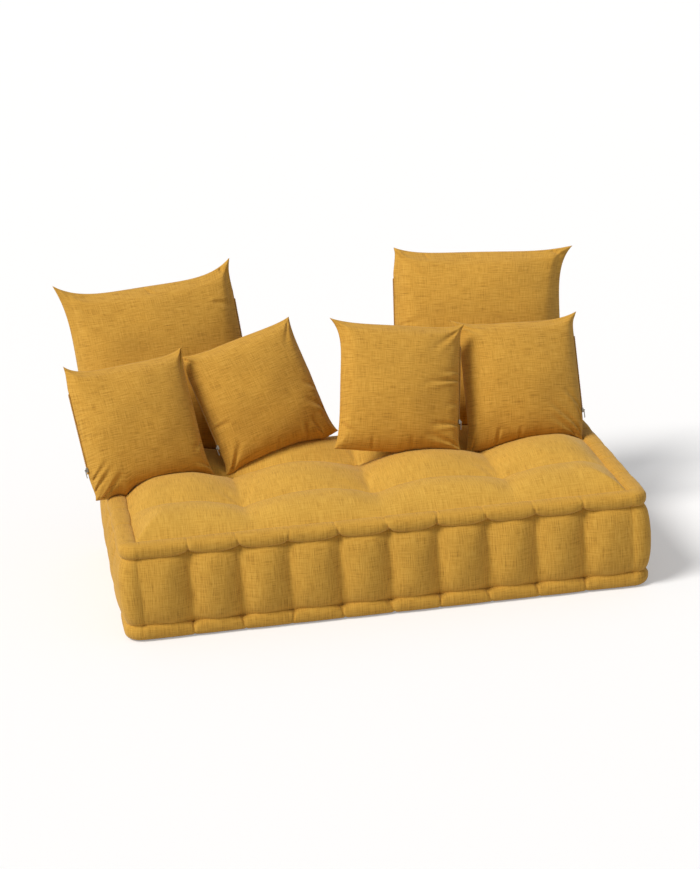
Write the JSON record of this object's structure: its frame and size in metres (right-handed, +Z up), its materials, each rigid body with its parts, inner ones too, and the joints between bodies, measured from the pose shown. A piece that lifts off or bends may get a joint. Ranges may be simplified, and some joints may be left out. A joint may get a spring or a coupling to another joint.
{
  "type": "floor futon",
  "caption": "Low tufted floor mattress with rolled, stitched edges and channelled sides, set with loose square pillows in zipped covers that lean on it.",
  "frame": {"origin": "on the floor, under the middle of the mattress", "axes": "+X along the length of the mattress, to the right seen from the front; -Y is the front; +Z is up"},
  "size_m": [1.5247, 0.9729, 0.7867],
  "materials": {
    "cover_cloth": "mustard yellow slub linen, matte, with a soft sheen at grazing angles",
    "filling": "undyed cotton filling, matte",
    "twine": "mustard twisted cotton twine, matte",
    "zip_tape": "mustard woven tape, matte",
    "zip_teeth": "mustard moulded teeth, matte",
    "zip_metal": "dull nickel"
  },
  "bodies": {
    "mattress": {"side_border": "cover_cloth", "top_roll": "cover_cloth", "bottom_roll": "cover_cloth", "top_panel": "cover_cloth", "bottom_panel": "cover_cloth", "core_fill": "filling", "tufting_tie_1": "twine", "tufting_tie_2": "twine", "tufting_tie_3": "twine", "tufting_tie_4": "twine", "tufting_tie_5": "twine", "tufting_tie_6": "twine"},
    "large_pillow_left": {"large_pillow_left_front_panel": "cover_cloth", "large_pillow_left_back_panel": "cover_cloth", "large_pillow_left_insert": "filling", "large_pillow_left_zip_tape": "zip_tape", "large_pillow_left_zip_chain": "zip_teeth"},
    "large_pillow_right": {"large_pillow_right_front_panel": "cover_cloth", "large_pillow_right_back_panel": "cover_cloth", "large_pillow_right_insert": "filling", "large_pillow_right_zip_tape": "zip_tape", "large_pillow_right_zip_chain": "zip_teeth"},
    "small_pillow_1": {"small_pillow_1_front_panel": "cover_cloth", "small_pillow_1_back_panel": "cover_cloth", "small_pillow_1_insert": "filling", "small_pillow_1_zip_tape": "zip_tape", "small_pillow_1_zip_chain": "zip_teeth"},
    "small_pillow_2": {"small_pillow_2_front_panel": "cover_cloth", "small_pillow_2_back_panel": "cover_cloth", "small_pillow_2_insert": "filling", "small_pillow_2_zip_tape": "zip_tape", "small_pillow_2_zip_chain": "zip_teeth"},
    "small_pillow_3": {"small_pillow_3_front_panel": "cover_cloth", "small_pillow_3_back_panel": "cover_cloth", "small_pillow_3_insert": "filling", "small_pillow_3_zip_tape": "zip_tape", "small_pillow_3_zip_chain": "zip_teeth"},
    "small_pillow_4": {"small_pillow_4_front_panel": "cover_cloth", "small_pillow_4_back_panel": "cover_cloth", "small_pillow_4_insert": "filling", "small_pillow_4_zip_tape": "zip_tape", "small_pillow_4_zip_chain": "zip_teeth"},
    "large_pillow_left_slider": {"large_pillow_left_zip_slider": "zip_metal"},
    "large_pillow_left_pull": {"large_pillow_left_zip_pull": "zip_metal"},
    "large_pillow_right_slider": {"large_pillow_right_zip_slider": "zip_metal"},
    "large_pillow_right_pull": {"large_pillow_right_zip_pull": "zip_metal"},
    "small_pillow_1_slider": {"small_pillow_1_zip_slider": "zip_metal"},
    "small_pillow_1_pull": {"small_pillow_1_zip_pull": "zip_metal"},
    "small_pillow_2_slider": {"small_pillow_2_zip_slider": "zip_metal"},
    "small_pillow_2_pull": {"small_pillow_2_zip_pull": "zip_metal"},
    "small_pillow_3_slider": {"small_pillow_3_zip_slider": "zip_metal"},
    "small_pillow_3_pull": {"small_pillow_3_zip_pull": "zip_metal"},
    "small_pillow_4_slider": {"small_pillow_4_zip_slider": "zip_metal"},
    "small_pillow_4_pull": {"small_pillow_4_zip_pull": "zip_metal"}
  },
  "joints": [
    {"name": "large_pillow_left_lift", "type": "slide", "parent": "mattress", "child": "large_pillow_left", "axis": [0, 0.3746, 0.9272], "range_m": [0, 0.3]},
    {"name": "large_pillow_left_zip_run", "type": "slide", "parent": "large_pillow_left", "child": "large_pillow_left_slider", "axis": [-0.0783, 0.3512, 0.933], "range_m": [0, 0.306]},
    {"name": "large_pillow_left_pull_swing", "type": "hinge", "parent": "large_pillow_left_slider", "child": "large_pillow_left_pull", "pos_m": [-0.24532, 0.39545, 0.38564], "axis": [0.1138, -0.9266, 0.3584], "range_deg": [0, 170]},
    {"name": "large_pillow_right_lift", "type": "slide", "parent": "mattress", "child": "large_pillow_right", "axis": [0, 0.3746, 0.9272], "range_m": [0, 0.3]},
    {"name": "large_pillow_right_zip_run", "type": "slide", "parent": "large_pillow_right", "child": "large_pillow_right_slider", "axis": [0.0833, 0.352, 0.9323], "range_m": [0, 0.306]},
    {"name": "large_pillow_right_pull_swing", "type": "hinge", "parent": "large_pillow_right_slider", "child": "large_pillow_right_pull", "pos_m": [0.1658, 0.41329, 0.39669], "axis": [0.0814, 0.93, -0.3584], "range_deg": [0, 170]},
    {"name": "small_pillow_1_lift", "type": "slide", "parent": "mattress", "child": "small_pillow_1", "axis": [0, 0.3746, 0.9272], "range_m": [0, 0.3]},
    {"name": "small_pillow_1_zip_run", "type": "slide", "parent": "small_pillow_1", "child": "small_pillow_1_slider", "axis": [-0.136, 0.4014, 0.9058], "range_m": [0, 0.21]},
    {"name": "small_pillow_1_pull_swing", "type": "hinge", "parent": "small_pillow_1_slider", "child": "small_pillow_1_pull", "pos_m": [-0.76175, 0.04701, 0.34478], "axis": [-0.2193, 0.8794, -0.4226], "range_deg": [0, 170]},
    {"name": "small_pillow_2_lift", "type": "slide", "parent": "mattress", "child": "small_pillow_2", "axis": [0, 0.3746, 0.9272], "range_m": [0, 0.3]},
    {"name": "small_pillow_2_zip_run", "type": "slide", "parent": "small_pillow_2", "child": "small_pillow_2_slider", "axis": [-0.2893, 0.3611, 0.8865], "range_m": [0, 0.21]},
    {"name": "small_pillow_2_pull_swing", "type": "hinge", "parent": "small_pillow_2_slider", "child": "small_pillow_2_pull", "pos_m": [-0.38791, 0.17576, 0.33094], "axis": [-0.1884, 0.8865, -0.4226], "range_deg": [0, 170]},
    {"name": "small_pillow_3_lift", "type": "slide", "parent": "mattress", "child": "small_pillow_3", "axis": [0, 0.3746, 0.9272], "range_m": [0, 0.3]},
    {"name": "small_pillow_3_zip_run", "type": "slide", "parent": "small_pillow_3", "child": "small_pillow_3_slider", "axis": [0.1418, 0.4226, 0.8951], "range_m": [0, 0.21]},
    {"name": "small_pillow_3_pull_swing", "type": "hinge", "parent": "small_pillow_3_slider", "child": "small_pillow_3_pull", "pos_m": [0.29643, 0.07818, 0.36588], "axis": [0.0316, -0.9058, 0.4226], "range_deg": [0, 170]},
    {"name": "small_pillow_4_lift", "type": "slide", "parent": "mattress", "child": "small_pillow_4", "axis": [0, 0.3746, 0.9272], "range_m": [0, 0.3]},
    {"name": "small_pillow_4_zip_run", "type": "slide", "parent": "small_pillow_4", "child": "small_pillow_4_slider", "axis": [0.0228, 0.4247, 0.9051], "range_m": [0, 0.21]},
    {"name": "small_pillow_4_pull_swing", "type": "hinge", "parent": "small_pillow_4_slider", "child": "small_pillow_4_pull", "pos_m": [0.67181, 0.16233, 0.33869], "axis": [0.0632, -0.9041, 0.4226], "range_deg": [0, 170]}
  ]
}
